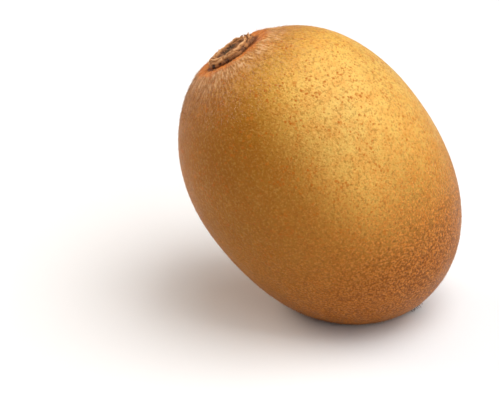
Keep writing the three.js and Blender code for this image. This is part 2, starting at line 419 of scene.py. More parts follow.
tree, sizes = new_tree(
    "skin relief",
    {
        "Levels": "Int",
        "Leather height": "Float",
        "Leather size": "Float",
        "Folds": "Float",
        "Fold height": "Float",
        "Fold start": "Float",
        "Fold end": "Float",
    },
)
finer = add(tree, "GeometryNodeSubdivisionSurface", {0: sizes["Geometry"], "Level": sizes["Levels"]})
place, height, reach, turn = own_place(tree, add(tree, "GeometryNodeInputPosition").outputs[0])
scale = add(tree, "ShaderNodeMath", {0: 1.0, 1: sizes["Leather size"]}, operation="DIVIDE")
leather = add(tree, "ShaderNodeTexNoise", {"Vector": place, "Scale": scale.outputs[0], "Detail": 3.0})
rise = add(tree, "ShaderNodeMath", {0: leather.outputs[0], 1: -0.5}, operation="ADD")
rise = add(tree, "ShaderNodeMath", {0: rise.outputs[0], 1: sizes["Leather height"]}, operation="MULTIPLY")
wander = add(tree, "ShaderNodeTexNoise", {"Vector": place, "Scale": 0.35, "Detail": 1.0})
phase = add(tree, "ShaderNodeMath", {0: wander.outputs[0], 1: FOLD_WANDER}, operation="MULTIPLY")
phase = add(
    tree, "ShaderNodeMath", {0: turn, 1: sizes["Folds"], 2: phase.outputs[0]}, operation="MULTIPLY_ADD"
)
fold = add(tree, "ShaderNodeMath", {0: phase.outputs[0]}, operation="SINE")
starts = add(
    tree,
    "ShaderNodeMapRange",
    {"Value": reach, "From Min": FOLD_ROOT, "From Max": sizes["Fold start"]},
    interpolation_type="SMOOTHSTEP",
)
ends = add(
    tree,
    "ShaderNodeMapRange",
    {"Value": reach, "From Min": sizes["Fold end"], "From Max": sizes["Fold start"]},
    interpolation_type="SMOOTHSTEP",
)
on_top = add(tree, "ShaderNodeMath", {0: height, 1: stem_part}, operation="GREATER_THAN")
fold = add(tree, "ShaderNodeMath", {0: fold.outputs[0], 1: sizes["Fold height"]}, operation="MULTIPLY")
for limit in (starts, ends, on_top):
    fold = add(tree, "ShaderNodeMath", {0: fold.outputs[0], 1: limit.outputs[0]}, operation="MULTIPLY")
rise = add(tree, "ShaderNodeMath", {0: rise.outputs[0], 1: fold.outputs[0]}, operation="ADD")
above_floor = add(tree, "ShaderNodeSeparateXYZ", {0: add(tree, "GeometryNodeInputPosition").outputs[0]})
off_floor = add(
    tree,
    "ShaderNodeMapRange",
    {"Value": above_floor.outputs[2], "From Min": PRESSED * MM, "From Max": FREE * MM, "To Max": MM},
)
rise = add(tree, "ShaderNodeMath", {0: rise.outputs[0], 1: off_floor.outputs[0]}, operation="MULTIPLY")
offset = add(
    tree,
    "ShaderNodeVectorMath",
    {0: add(tree, "GeometryNodeInputNormal").outputs[0], "Scale": rise.outputs[0]},
    operation="SCALE",
)
moved = add(tree, "GeometryNodeSetPosition", {0: finer.outputs[0], "Offset": offset.outputs[0]})
finish_tree(tree, moved.outputs[0], golden_skin)

skin = grow(
    "skin",
    cad_copy("fruit_in_skin"),
    tree,
    {
        "Levels": SKIN_LEVELS,
        "Leather height": LEATHER_HEIGHT,
        "Leather size": LEATHER_SIZE,
        "Folds": float(FOLD_COUNT),
        "Fold height": FOLD_HEIGHT,
        "Fold start": FOLD_START,
        "Fold end": FOLD_END,
    },
)
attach(skin, "root")
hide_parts("fruit_in_skin")

# The hairs

# Short stiff hairs grown out of the skin, mostly brushed off when the fruit was packed. They lie back towards
# the blossom end, and a grey-tan fringe of longer, matted ones stands round the bare ring at the calyx.

HAIR_SPACING = 0.33  # mm
HAIR_LENGTHS = (0.20, 0.46)  # mm
HAIR_WIDTH = 0.058  # mm, at the root
HAIR_LOWEST = 1.1  # share of the fruit's length below the calyx, past its blossom end
HAIR_UPRIGHT = 0.15  # how far the short hairs lean out from the skin
HAIR_STRAY = (0.45, 0.45, 0.45)  # how far a hair may turn from its way, where 1 is half a right angle
HAIR_HOOK = 3.5  # how far a hair bends to its side
HAIR_ROOT = 0.12  # the share of its length that is sunk in the skin
LEAST_LIFT = 0.14  # how steeply at least it leaves the skin
THINNEST = 0.35  # the share of hairs left where most were brushed off
MOST_HAIRS = 1.3e7  # to a square metre, before the spacing thins them
START_FADE, END_FADE = 0.6, 3.0  # mm to each side of the start and the end, where the hairs thin out
NEAR_TABLE = 1.0  # mm, no hair grows below this height
FRINGE_SPACING = 0.24  # mm
FRINGE_LENGTHS = (0.4, 1.1)  # mm
FRINGE_WIDTH = 0.085  # mm, at the root
FRINGE_START, FRINGE_END = 8.3, 17.0  # mm from the axis
FRINGE_LOWEST = 0.5  # share of the fruit's length below the calyx
WHOLE_FRUIT = 60.0  # mm from the axis, past the fruit's broadest part


def hair_material(name, root, tip, roughness):
    """A dry plant hair: matte brown, each tuft of hairs darker or paler than the next."""
    made = bpy.data.materials.new(name)
    made.use_nodes = True
    tree = made.node_tree
    tree.nodes.clear()
    at = add(tree, "ShaderNodeTexCoord").outputs["Object"]
    tuft = 0.9 * MM  # hairs of about the same tone stand together over this width
    tone = add(tree, "ShaderNodeTexNoise", {"Vector": at, "Scale": 1 / tuft, "Detail": 2.0})
    mixed = add(
        tree, "ShaderNodeMix", {0: tone.outputs[0], 6: linear(root), 7: linear(tip)}, data_type="RGBA"
    )
    shader = add(
        tree,
        "ShaderNodeBsdfPrincipled",
        {"Base Color": mixed.outputs[2], "Roughness": roughness, "IOR": 1.5},
    )
    add(tree, "ShaderNodeOutputMaterial", {0: shader.outputs[0]})
    return made


def hair_tree(name, material, steps):
    """Pointed hairs over the skin between two distances from the axis, bent to one side in so many steps."""
    tree, sizes = new_tree(
        name,
        {
            "Spacing": "Float",
            "Shortest": "Float",
            "Longest": "Float",
            "Width": "Float",
            "Start": "Float",
            "End": "Float",
            "Lowest": "Float",
            "Upright": "Float",
            "Stray": "Vector",
            "Seed": "Int",
        },
    )
    position = add(tree, "GeometryNodeInputPosition").outputs[0]
    place, height, reach, _ = own_place(tree, position)
    patchy = add(tree, "ShaderNodeTexNoise", {"Vector": place, "Scale": 0.45, "Detail": 2.0})
    thinned = add(
        tree,
        "ShaderNodeMapRange",
        {"Value": patchy.outputs[0], "From Min": 0.3, "From Max": 0.6, "To Min": THINNEST},
    )
    low_end = add(tree, "ShaderNodeMath", {0: sizes["Lowest"], 1: -fruit_length}, operation="MULTIPLY")
    above = add(tree, "ShaderNodeMath", {0: height, 1: low_end.outputs[0]}, operation="GREATER_THAN")
    limits = [thinned, above]
    for edge, fade in [(sizes["Start"], START_FADE), (sizes["End"], -END_FADE)]:
        none = add(tree, "ShaderNodeMath", {0: edge, 1: -fade}, operation="ADD")
        full = add(tree, "ShaderNodeMath", {0: edge, 1: fade}, operation="ADD")
        limits.append(
            add(
                tree,
                "ShaderNodeMapRange",
                {"Value": reach, "From Min": none.outputs[0], "From Max": full.outputs[0]},
            )
        )
    above_floor = add(tree, "ShaderNodeSeparateXYZ", {0: position})
    limits.append(
        add(
            tree,
            "ShaderNodeMath",
            {0: above_floor.outputs[2], 1: NEAR_TABLE * MM},
            operation="GREATER_THAN",
        )
    )
    factor = limits[0].outputs[0]
    for limit in limits[1:]:
        factor = add(
            tree, "ShaderNodeMath", {0: factor, 1: limit.outputs[0]}, operation="MULTIPLY"
        ).outputs[0]
    gap = add(tree, "ShaderNodeMath", {0: sizes["Spacing"], 1: MM}, operation="MULTIPLY")
    spots = add(
        tree,
        "GeometryNodeDistributePointsOnFaces",
        {
            0: sizes["Geometry"],
            "Distance Min": gap.outputs[0],
            "Density Max": MOST_HAIRS,
            "Density Factor": factor,
            "Seed": sizes["Seed"],
        },
        distribute_method="POISSON",
    )
    hair = add(
        tree,
        "GeometryNodeMeshCone",
        {"Vertices": 3, "Side Segments": steps, "Radius Top": 0.0, "Radius Bottom": 0.5, "Depth": 1.0},
        fill_type="NGON",
    )
    along = add(tree, "ShaderNodeSeparateXYZ", {0: add(tree, "GeometryNodeInputPosition").outputs[0]})
    squared = add(tree, "ShaderNodeMath", {0: along.outputs[2], 1: 2.0}, operation="POWER")
    hook = add(tree, "ShaderNodeMath", {0: squared.outputs[0], 1: HAIR_HOOK}, operation="MULTIPLY")
    shift = add(tree, "ShaderNodeCombineXYZ", {0: hook.outputs[0], 2: -HAIR_ROOT})
    hooked = add(tree, "GeometryNodeSetPosition", {0: hair.outputs[0], "Offset": shift.outputs[0]})
    opposite = add(tree, "ShaderNodeVectorMath", {0: sizes["Stray"], "Scale": -1.0}, operation="SCALE")
    jitter = add(
        tree,
        "FunctionNodeRandomValue",
        {0: opposite.outputs[0], 1: sizes["Stray"], "Seed": sizes["Seed"]},
        data_type="FLOAT_VECTOR",
    )
    lifted = add(
        tree,
        "ShaderNodeVectorMath",
        {0: spots.outputs["Normal"], "Scale": sizes["Upright"]},
        operation="SCALE",
    )
    heading = add(
        tree, "ShaderNodeVectorMath", {0: lifted.outputs[0], 1: jitter.outputs[0]}, operation="ADD"
    )
    heading = add(tree, "ShaderNodeVectorMath", {0: heading.outputs[0], 1: -axis}, operation="ADD")
    outward = add(
        tree,
        "ShaderNodeVectorMath",
        {0: heading.outputs[0], 1: spots.outputs["Normal"]},
        operation="DOT_PRODUCT",
    )
    # A heading that would run into the skin is lifted until it lies just over it.
    sunk = add(tree, "ShaderNodeMath", {0: LEAST_LIFT, 1: outward.outputs["Value"]}, operation="SUBTRACT")
    sunk = add(tree, "ShaderNodeMath", {0: sunk.outputs[0], 1: 0.0}, operation="MAXIMUM")
    lift = add(
        tree,
        "ShaderNodeVectorMath",
        {0: spots.outputs["Normal"], "Scale": sunk.outputs[0]},
        operation="SCALE",
    )
    heading = add(
        tree, "ShaderNodeVectorMath", {0: heading.outputs[0], 1: lift.outputs[0]}, operation="ADD"
    )
    aimed = add(
        tree, "FunctionNodeAlignRotationToVector", {"Vector": heading.outputs[0]}, axis="Z"
    )
    length = add(
        tree,
        "FunctionNodeRandomValue",
        {2: sizes["Shortest"], 3: sizes["Longest"], "Seed": sizes["Seed"]},
        data_type="FLOAT",
    )
    size = add(
        tree,
        "ShaderNodeCombineXYZ",
        {0: sizes["Width"], 1: sizes["Width"], 2: length.outputs[1]},
    )
    metres = add(tree, "ShaderNodeVectorMath", {0: size.outputs[0], "Scale": MM}, operation="SCALE")
    planted = add(
        tree,
        "GeometryNodeInstanceOnPoints",
        {
            "Points": spots.outputs["Points"],
            "Instance": hooked.outputs[0],
            "Rotation": aimed.outputs[0],
            "Scale": metres.outputs[0],
        },
    )
    finish_tree(tree, planted.outputs[0], material)
    return tree


# Dry plant hairs: the short ones light up the skin's grain, the matted ones veil the shoulder in pale down.
down_hair = hair_material("dry_plant_hair", "#91540f", "#c07c24", 0.6)
fringe_hair = hair_material("matted_plant_hair", "#9f6a3e", "#dfb286", 0.7)
short_hairs = grow(
    "short_hairs",
    skin.data,
    hair_tree("short hairs", down_hair, 1),
    {
        "Spacing": HAIR_SPACING,
        "Shortest": HAIR_LENGTHS[0],
        "Longest": HAIR_LENGTHS[1],
        "Width": HAIR_WIDTH,
        "Start": FRINGE_START,
        "End": WHOLE_FRUIT,
        "Lowest": HAIR_LOWEST,
        "Upright": HAIR_UPRIGHT,
        "Stray": HAIR_STRAY,
        "Seed": 4,
    },
)
fringe = grow(
    "calyx_fringe",
    skin.data,
    hair_tree("calyx fringe", fringe_hair, 2),
    {
        "Spacing": FRINGE_SPACING,
        "Shortest": FRINGE_LENGTHS[0],
        "Longest": FRINGE_LENGTHS[1],
        "Width": FRINGE_WIDTH,
        "Start": FRINGE_START,
        "End": FRINGE_END,
        "Lowest": FRINGE_LOWEST,
        "Upright": 0.0,
        "Stray": HAIR_STRAY,
        "Seed": 11,
    },
)
for hairs in (short_hairs, fringe):
    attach(hairs, "root")

# The dried calyx

# Five sepals that dried, curled under and pressed into one woody crown round the scar of the stalk. It is
# ropey and cracked, with loose shreds along its edge. Its colour follows its relief: a tan painted
# highlight on its ridges and nearly black painted shade in its cracks.

CALYX_LEVELS = 2
CROWN_REACH = 4.4  # mm, from the axis to the top of the crown
ROPE_TURNS = 1.5  # half as many as the folds of the rolled sepals that cross the crown on the way round
ROPE_TWIST = 2.6  # how far the folds turn on for each mm away from the axis
ROPE_WANDER = 5.0  # how far noise bends them
ROPE_HEIGHT = 0.40  # mm
FIBRE_HEIGHT = 0.24  # mm
CREASE_WIDTH = 0.07  # share of the noise that a crease takes up
RELIEF_DROP = 0.8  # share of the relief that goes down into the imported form
CALYX_SINK = 0.5  # mm, how far its underside goes down into the tissue that joins it to the skin
SHRED_SPACING = 0.95  # mm
SHRED_SIZE = (1.5, 0.42, 0.09)  # mm
SHRED_BOW = 7.0  # how far a shred's ends stand up
SHRED_TAPER = 0.85  # share of its width that a shred loses at its ends
SHRED_STRAY = 0.35  # how far a shred may turn from its way round the crown
SHREDS_FROM = 3.3  # mm from the axis
MOST_SHREDS = 1.5e6  # to a square metre, before the spacing thins them
SCAR_EDGE, SCAR_CORE = 2.0, 1.2  # mm from the axis

# Dried, cracked sepal tissue, like thin bark: matte, with painted shade in its cracks, a tan painted
# highlight on its ridges, and a dark olive scar.
sepal_bark = bpy.data.materials.new("dried_sepal_bark")
sepal_bark.use_nodes = True
tree = sepal_bark.node_tree
tree.nodes.clear()
place, _, reach, _ = own_place(tree, add(tree, "ShaderNodeTexCoord").outputs["Object"])
relief_shading = add(tree, "ShaderNodeAttribute", attribute_name="relief_shading").outputs["Fac"]
# Painted shade and highlight by the relief's height: nearly black in the cracks, tan on the ridges.
colour = linear("#381c0e")
for low, high, hex_colour in [(0.05, 0.30, "#80502c"), (0.30, 0.60, "#bc8048"), (0.60, 0.95, "#e6b07a")]:
    step = add(
        tree,
        "ShaderNodeMapRange",
        {"Value": relief_shading, "From Min": low, "From Max": high},
        interpolation_type="SMOOTHSTEP",
    )
    layer = add(
        tree, "ShaderNodeMix", {0: step.outputs[0], 6: colour, 7: linear(hex_colour)}, data_type="RGBA"
    )
    colour = layer.outputs[2]
scar = add(
    tree,
    "ShaderNodeMapRange",
    {"Value": reach, "From Min": SCAR_EDGE, "From Max": SCAR_CORE, "To Max": 0.75},
    interpolation_type="SMOOTHSTEP",
)
layer = add(
    tree, "ShaderNodeMix", {0: scar.outputs[0], 6: colour, 7: linear("#4a3a1c")}, data_type="RGBA"
)

# Fine flecks, a little darker or lighter than the tissue round them.
BARK_GRAIN = 0.22  # mm
grain = add(
    tree,
    "ShaderNodeTexNoise",
    {"Vector": place, "Scale": 1 / BARK_GRAIN, "Detail": 3.0, "Roughness": 0.65},
)
flecked = add(
    tree,
    "ShaderNodeMix",
    {0: grain.outputs[0], 6: linear("#8a8a8a"), 7: (1.25, 1.2, 1.15, 1.0)},
    data_type="RGBA",
)
toned = add(
    tree,
    "ShaderNodeMix",
    {0: 1.0, 6: layer.outputs[2], 7: flecked.outputs[2]},
    data_type="RGBA",
    blend_type="MULTIPLY",
)
relief = add(tree, "ShaderNodeMath", {0: grain.outputs[0], 1: 0.06 * MM}, operation="MULTIPLY")
bump = add(tree, "ShaderNodeBump", {"Strength": 1.0, "Distance": 1.0, "Height": relief.outputs[0]})
shader = add(
    tree,
    "ShaderNodeBsdfPrincipled",
    {"Base Color": toned.outputs[2], "Roughness": 0.82, "IOR": 1.45, "Normal": bump.outputs[0]},
)
add(tree, "ShaderNodeOutputMaterial", {0: shader.outputs[0]})

tree, sizes = new_tree(
    "calyx relief",
    {
        "Levels": "Int",
        "Crown reach": "Float",
        "Rope turns": "Float",
        "Rope height": "Float",
        "Fibre height": "Float",
        "Sink": "Float",
        "Shred spacing": "Float",
        "Shred size": "Vector",
        "Seed": "Int",
    },
)
finer = add(tree, "GeometryNodeSubdivisionSurface", {0: sizes["Geometry"], "Level": sizes["Levels"]})
position = add(tree, "GeometryNodeInputPosition").outputs[0]
normal = add(tree, "GeometryNodeInputNormal").outputs[0]
place, _, reach, turn = own_place(tree, position)
from_crown = add(tree, "ShaderNodeMath", {0: reach, 1: sizes["Crown reach"]}, operation="SUBTRACT")
squared = add(tree, "ShaderNodeMath", {0: from_crown.outputs[0], 1: 2.0}, operation="POWER")
on_crown = add(
    tree,
    "ShaderNodeMapRange",
    {"Value": squared.outputs[0], "From Min": 2.2, "From Max": 0.1},
    interpolation_type="SMOOTHSTEP",
)
wander = add(tree, "ShaderNodeTexNoise", {"Vector": place, "Scale": 0.55, "Detail": 2.0})
phase = add(tree, "ShaderNodeMath", {0: turn, 1: sizes["Rope turns"]}, operation="MULTIPLY")
phase = add(
    tree, "ShaderNodeMath", {0: reach, 1: ROPE_TWIST, 2: phase.outputs[0]}, operation="MULTIPLY_ADD"
)
phase = add(
    tree,
    "ShaderNodeMath",
    {0: wander.outputs[0], 1: ROPE_WANDER, 2: phase.outputs[0]},
    operation="MULTIPLY_ADD",
)
twist = add(tree, "ShaderNodeMath", {0: phase.outputs[0]}, operation="SINE")
twist = add(tree, "ShaderNodeMath", {0: twist.outputs[0]}, operation="ABSOLUTE")
twist = add(tree, "ShaderNodeMath", {0: twist.outputs[0], 1: on_crown.outputs[0]}, operation="MULTIPLY")
curled_fibres = round_axis(tree, reach, turn, across=1.0, along=1.9)
fibres = add(
    tree,
    "ShaderNodeTexNoise",
    {"Vector": curled_fibres, "Scale": 1.0, "Detail": 3.0, "Roughness": 0.5},
)
creases = add(tree, "ShaderNodeMath", {0: fibres.outputs[0], 1: 0.5}, operation="SUBTRACT")
creases = add(tree, "ShaderNodeMath", {0: creases.outputs[0]}, operation="ABSOLUTE")
creases = add(
    tree,
    "ShaderNodeMapRange",
    {"Value": creases.outputs[0], "From Min": 0.0, "From Max": CREASE_WIDTH},
    interpolation_type="SMOOTHSTEP",
)
rope = add(tree, "ShaderNodeMath", {0: twist.outputs[0], 1: sizes["Rope height"]}, operation="MULTIPLY")
rise = add(
    tree,
    "ShaderNodeMath",
    {0: creases.outputs[0], 1: sizes["Fibre height"], 2: rope.outputs[0]},
    operation="MULTIPLY_ADD",
)
most = add(
    tree, "ShaderNodeMath", {0: sizes["Rope height"], 1: sizes["Fibre height"]}, operation="ADD"
)
share = add(tree, "ShaderNodeMath", {0: rise.outputs[0], 1: most.outputs[0]}, operation="DIVIDE")
lowered = add(
    tree,
    "ShaderNodeMath",
    {0: most.outputs[0], 1: -RELIEF_DROP, 2: rise.outputs[0]},
    operation="MULTIPLY_ADD",
)
outward = add(tree, "ShaderNodeVectorMath", {0: normal, 1: axis}, operation="DOT_PRODUCT")
upper = add(
    tree, "ShaderNodeMapRange", {"Value": outward.outputs["Value"], "From Min": -0.2, "From Max": 0.35}
)
under = add(
    tree, "ShaderNodeMapRange", {"Value": outward.outputs["Value"], "From Min": 0.1, "From Max": -0.5}
)
lift = add(tree, "ShaderNodeMath", {0: lowered.outputs[0], 1: upper.outputs[0]}, operation="MULTIPLY")
raised = add(tree, "ShaderNodeVectorMath", {0: normal, "Scale": lift.outputs[0]}, operation="SCALE")
drop = add(tree, "ShaderNodeMath", {0: under.outputs[0], 1: sizes["Sink"]}, operation="MULTIPLY")
dropped = add(tree, "ShaderNodeVectorMath", {0: -axis, "Scale": drop.outputs[0]}, operation="SCALE")
shift = add(
    tree, "ShaderNodeVectorMath", {0: raised.outputs[0], 1: dropped.outputs[0]}, operation="ADD"
)
shift = add(tree, "ShaderNodeVectorMath", {0: shift.outputs[0], "Scale": MM}, operation="SCALE")
# The share of the relief's height, which the bark paints as shade in the cracks and highlight on the ridges.
named = add(
    tree,
    "GeometryNodeStoreNamedAttribute",
    {0: finer.outputs[0], "Name": "relief_shading", "Value": share.outputs[0]},
    data_type="FLOAT",
    domain="POINT",
)
shaped = add(tree, "GeometryNodeSetPosition", {0: named.outputs[0], "Offset": shift.outputs[0]})

# The shreds: thin strips bent along their length, lying round the crown.
strip = add(
    tree, "GeometryNodeMeshCube", {"Size": (1.0, 1.0, 1.0), "Vertices X": 7, "Vertices Y": 3, "Vertices Z": 2}
)
spot = add(tree, "ShaderNodeSeparateXYZ", {0: add(tree, "GeometryNodeInputPosition").outputs[0]})
bow = add(tree, "ShaderNodeMath", {0: spot.outputs[0], 1: 2.0}, operation="POWER")
thin = add(
    tree,
    "ShaderNodeMapRange",
    {"Value": bow.outputs[0], "From Max": 0.25, "To Min": 0.0, "To Max": -SHRED_TAPER},
)
narrower = add(tree, "ShaderNodeMath", {0: spot.outputs[1], 1: thin.outputs[0]}, operation="MULTIPLY")
arch = add(tree, "ShaderNodeMath", {0: bow.outputs[0], 1: SHRED_BOW}, operation="MULTIPLY")
bent = add(tree, "ShaderNodeCombineXYZ", {1: narrower.outputs[0], 2: arch.outputs[0]})
strip = add(tree, "GeometryNodeSetPosition", {0: strip.outputs[0], "Offset": bent.outputs[0]})
# The shreds take a middle tone of the painted relief shading.
strip = add(
    tree,
    "GeometryNodeStoreNamedAttribute",
    {0: strip.outputs[0], "Name": "relief_shading", "Value": 0.55},
    data_type="FLOAT",
    domain="POINT",
)
past_scar = add(tree, "ShaderNodeMath", {0: reach, 1: SHREDS_FROM}, operation="GREATER_THAN")
where = add(
    tree, "ShaderNodeMath", {0: outward.outputs["Value"], 1: 0.15}, operation="GREATER_THAN"
)
where = add(tree, "ShaderNodeMath", {0: where.outputs[0], 1: past_scar.outputs[0]}, operation="MULTIPLY")
gap = add(tree, "ShaderNodeMath", {0: sizes["Shred spacing"], 1: MM}, operation="MULTIPLY")
spots = add(
    tree,
    "GeometryNodeDistributePointsOnFaces",
    {
        0: shaped.outputs[0],
        "Distance Min": gap.outputs[0],
        "Density Max": MOST_SHREDS,
        "Density Factor": where.outputs[0],
        "Seed": sizes["Seed"],
    },
    distribute_method="POISSON",
)
upright = add(
    tree, "FunctionNodeAlignRotationToVector", {"Vector": spots.outputs["Normal"]}, axis="Z"
)
jitter = add(
    tree,
    "FunctionNodeRandomValue",
    {0: [-SHRED_STRAY] * 3, 1: [SHRED_STRAY] * 3, "Seed": sizes["Seed"]},
    data_type="FLOAT_VECTOR",
)
position_now = add(tree, "GeometryNodeInputPosition").outputs[0]
from_middle = add(tree, "ShaderNodeVectorMath", {0: position_now, 1: stem_point}, operation="SUBTRACT")
round_way = add(
    tree, "ShaderNodeVectorMath", {0: axis, 1: from_middle.outputs[0]}, operation="CROSS_PRODUCT"
)
round_way = add(tree, "ShaderNodeVectorMath", {0: round_way.outputs[0]}, operation="NORMALIZE")
way = add(tree, "ShaderNodeVectorMath", {0: round_way.outputs[0], 1: jitter.outputs[0]}, operation="ADD")
aimed = add(
    tree,
    "FunctionNodeAlignRotationToVector",
    {"Rotation": upright.outputs[0], "Vector": way.outputs[0]},
    axis="X",
    pivot_axis="Z",
)
scales = add(
    tree,
    "FunctionNodeRandomValue",
    {0: (0.5, 0.6, 0.7), 1: (1.1, 1.2, 1.1), "Seed": sizes["Seed"]},
    data_type="FLOAT_VECTOR",
)
size = add(
    tree, "ShaderNodeVectorMath", {0: scales.outputs[0], 1: sizes["Shred size"]}, operation="MULTIPLY"
)
size = add(tree, "ShaderNodeVectorMath", {0: size.outputs[0], "Scale": MM}, operation="SCALE")
shreds = add(
    tree,
    "GeometryNodeInstanceOnPoints",
    {
        "Points": spots.outputs["Points"],
        "Instance": strip.outputs[0],
        "Rotation": aimed.outputs[0],
        "Scale": size.outputs[0],
    },
)
both = add(tree, "GeometryNodeJoinGeometry", {0: shaped.outputs[0]})
tree.links.new(shreds.outputs[0], both.inputs[0])
finish_tree(tree, both.outputs[0], sepal_bark)

calyx = grow(
    "calyx",
    cad_copy("stem_calyx"),
    tree,
    {
        "Levels": CALYX_LEVELS,
        "Crown reach": CROWN_REACH,
        "Rope turns": ROPE_TURNS,
        "Rope height": ROPE_HEIGHT,
        "Fibre height": FIBRE_HEIGHT,
        "Sink": CALYX_SINK,
        "Shred spacing": SHRED_SPACING,
        "Shred size": SHRED_SIZE,
        "Seed": 7,
    },
)
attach(calyx, "root")
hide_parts("stem_calyx")

# The dried styles

# Some forty styles that dried in a tuft when the blossom fell. They are plant fibre, dark and brittle, matted
# into a ribbed stub in the pit at the blossom end, with loose ends pressed flat where they meet the table.

STYLES_LEVELS = 2
RIB_HEIGHT = 0.16  # mm
RIB_DROP = 0.7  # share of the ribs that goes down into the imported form
STYLES_SINK = 0.5  # mm, how far the stub goes down into the pit
THREAD_SPACING = 0.40  # mm
THREAD_LENGTHS = (0.5, 1.0)  # mm
THREAD_WIDTH = 0.17  # mm, at the root
THREAD_HOOK = 3.0  # how far a thread bends to its side
THREAD_ROOT = 0.15  # the share of its length that is sunk in the stub
THREAD_STRAY = 0.8  # how far a thread may turn from straight out
MOST_THREADS = 8.0e6  # to a square metre, before the spacing thins them
TABLE_TOUCH = 0.06  # mm above the table, where the loose ends stop

# Dry plant fibre: matte and dark brown, paler where the fibres split, with painted shade in the grooves
# between the ribs and a paler painted highlight on their tops.
style_fibre = bpy.data.materials.new("dried_style_fibre")
style_fibre.use_nodes = True
tree = style_fibre.node_tree
tree.nodes.clear()
place = own_place(tree, add(tree, "ShaderNodeTexCoord").outputs["Object"])[0]
relief_shading = add(tree, "ShaderNodeAttribute", attribute_name="relief_shading").outputs["Fac"]
FIBRE_GRAIN = 0.16  # mm
split = add(tree, "ShaderNodeTexNoise", {"Vector": place, "Scale": 1 / FIBRE_GRAIN, "Detail": 2.0})
# The ribs' height adds painted shade in their grooves and a painted highlight on their tops.
tone = add(
    tree, "ShaderNodeMath", {0: split.outputs[0], 1: 0.6, 2: relief_shading}, operation="MULTIPLY_ADD"
)
shade = add(tree, "ShaderNodeMapRange", {"Value": tone.outputs[0], "From Min": 0.35, "From Max": 1.1})
mixed = add(
    tree,
    "ShaderNodeMix",
    {0: shade.outputs[0], 6: linear("#24160f"), 7: linear("#7d583a")},
    data_type="RGBA",
)
relief = add(tree, "ShaderNodeMath", {0: split.outputs[0], 1: 0.04 * MM}, operation="MULTIPLY")
bump = add(tree, "ShaderNodeBump", {"Strength": 1.0, "Distance": 1.0, "Height": relief.outputs[0]})
shader = add(
    tree,
    "ShaderNodeBsdfPrincipled",
    {"Base Color": mixed.outputs[2], "Roughness": 0.85, "IOR": 1.45, "Normal": bump.outputs[0]},
)
add(tree, "ShaderNodeOutputMaterial", {0: shader.outputs[0]})

tree, sizes = new_tree(
    "styles relief",
    {
        "Levels": "Int",
        "Rib height": "Float",
        "Sink": "Float",
        "Thread spacing": "Float",
        "Shortest": "Float",
        "Longest": "Float",
        "Thread width": "Float",
        "Seed": "Int",
    },
)
finer = add(tree, "GeometryNodeSubdivisionSurface", {0: sizes["Geometry"], "Level": sizes["Levels"]})
normal = add(tree, "GeometryNodeInputNormal").outputs[0]
_, _, reach, turn = own_place(tree, add(tree, "GeometryNodeInputPosition").outputs[0])
outward_ribs = round_axis(tree, reach, turn, across=0.7, along=5.0)
ribs = add(
    tree,
    "ShaderNodeTexNoise",
    {"Vector": outward_ribs, "Scale": 1.0, "Detail": 3.0, "Roughness": 0.6},
)
share = add(tree, "ShaderNodeMapRange", {"Value": ribs.outputs[0], "From Min": 0.3, "From Max": 0.7})
outward = add(tree, "ShaderNodeVectorMath", {0: normal, 1: -axis}, operation="DOT_PRODUCT")
outer = add(
    tree, "ShaderNodeMapRange", {"Value": outward.outputs["Value"], "From Min": -0.2, "From Max": 0.35}
)
under = add(
    tree, "ShaderNodeMapRange", {"Value": outward.outputs["Value"], "From Min": 0.1, "From Max": -0.5}
)
lowered = add(tree, "ShaderNodeMath", {0: share.outputs[0], 1: RIB_DROP}, operation="SUBTRACT")
lift = add(tree, "ShaderNodeMath", {0: lowered.outputs[0], 1: sizes["Rib height"]}, operation="MULTIPLY")
lift = add(tree, "ShaderNodeMath", {0: lift.outputs[0], 1: outer.outputs[0]}, operation="MULTIPLY")
raised = add(tree, "ShaderNodeVectorMath", {0: normal, "Scale": lift.outputs[0]}, operation="SCALE")
drop = add(tree, "ShaderNodeMath", {0: under.outputs[0], 1: sizes["Sink"]}, operation="MULTIPLY")
dropped = add(tree, "ShaderNodeVectorMath", {0: axis, "Scale": drop.outputs[0]}, operation="SCALE")
shift = add(
    tree, "ShaderNodeVectorMath", {0: raised.outputs[0], 1: dropped.outputs[0]}, operation="ADD"
)
shift = add(tree, "ShaderNodeVectorMath", {0: shift.outputs[0], "Scale": MM}, operation="SCALE")
# The share of the ribs' height, which the fibre paints as shade in the grooves.
named = add(
    tree,
    "GeometryNodeStoreNamedAttribute",
    {0: finer.outputs[0], "Name": "relief_shading", "Value": share.outputs[0]},
    data_type="FLOAT",
    domain="POINT",
)
shaped = add(tree, "GeometryNodeSetPosition", {0: named.outputs[0], "Offset": shift.outputs[0]})

# The loose ends: tapered threads that stand out of the stub every way.
thread = add(
    tree,
    "GeometryNodeMeshCone",
    {"Vertices": 5, "Side Segments": 5, "Radius Top": 0.22, "Radius Bottom": 0.5, "Depth": 1.0},
    fill_type="NGON",
)
along = add(tree, "ShaderNodeSeparateXYZ", {0: add(tree, "GeometryNodeInputPosition").outputs[0]})
squared = add(tree, "ShaderNodeMath", {0: along.outputs[2], 1: 2.0}, operation="POWER")
hook = add(tree, "ShaderNodeMath", {0: squared.outputs[0], 1: THREAD_HOOK}, operation="MULTIPLY")
bent = add(tree, "ShaderNodeCombineXYZ", {0: hook.outputs[0], 2: -THREAD_ROOT})
thread = add(tree, "GeometryNodeSetPosition", {0: thread.outputs[0], "Offset": bent.outputs[0]})
thread = add(
    tree,
    "GeometryNodeStoreNamedAttribute",
    {0: thread.outputs[0], "Name": "relief_shading", "Value": 0.5},
    data_type="FLOAT",
    domain="POINT",
)
where = add(tree, "ShaderNodeMath", {0: outward.outputs["Value"], 1: 0.1}, operation="GREATER_THAN")
gap = add(tree, "ShaderNodeMath", {0: sizes["Thread spacing"], 1: MM}, operation="MULTIPLY")
